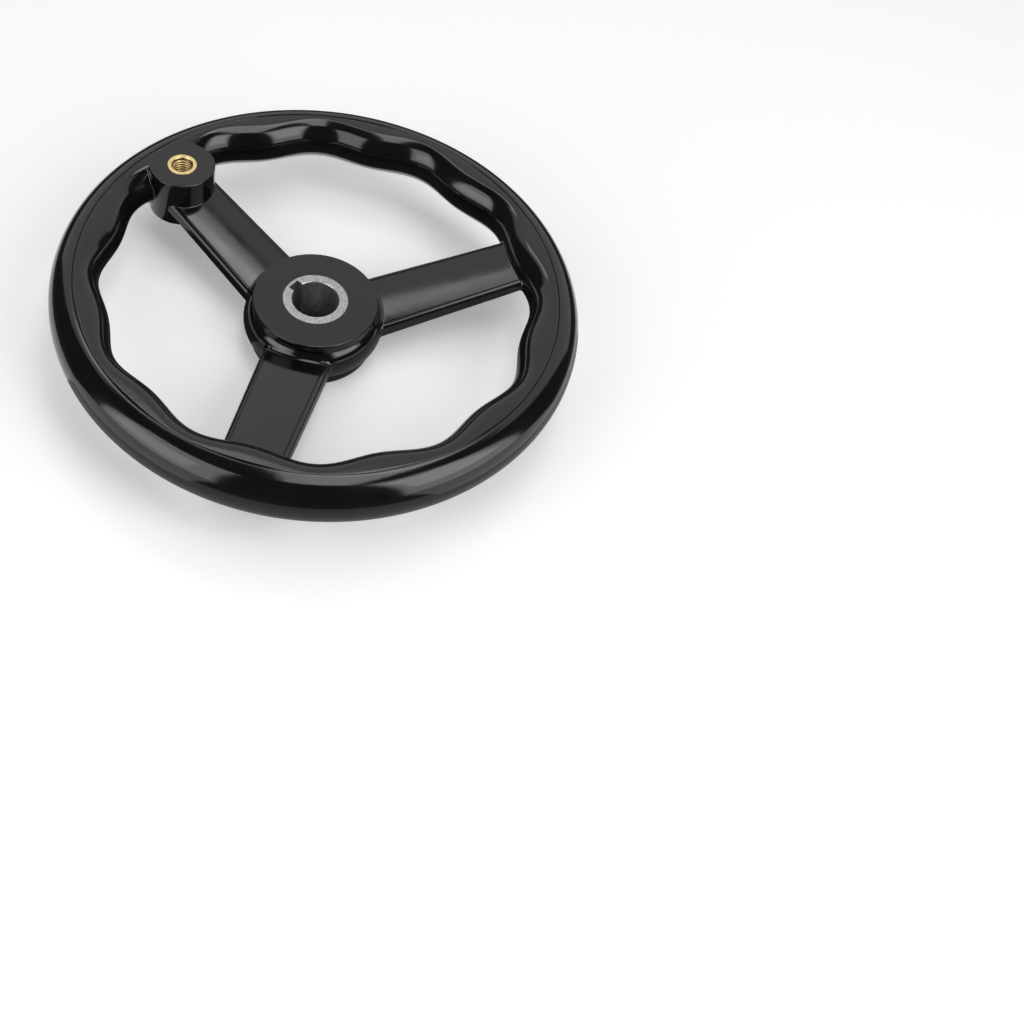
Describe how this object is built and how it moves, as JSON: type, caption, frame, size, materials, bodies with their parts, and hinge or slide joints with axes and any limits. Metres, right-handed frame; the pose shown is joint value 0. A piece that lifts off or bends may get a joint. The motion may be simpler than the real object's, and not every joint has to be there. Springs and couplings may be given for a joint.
{
  "type": "machine handwheel",
  "caption": "Black moulded handwheel with dished spokes, a wavy finger-grip rim, a steel bush with a keyway and a brass threaded insert for a crank handle.",
  "frame": {"origin": "on the bore's axis at the hub's back face, on which the wheel lies front up", "axes": "+Z along the bore out of the hub's front face; +X along the spoke that carries the handle boss"},
  "size_m": [0.2, 0.2, 0.0366],
  "materials": {
    "phenolic": "glossy black thermoset moulding",
    "steel": "turned and cast grey, matt",
    "brass": "turned bright"
  },
  "bodies": {
    "root": {"wheel_body": "phenolic", "keyed_bush": "steel", "threaded_insert": "brass"}
  },
  "joints": []
}
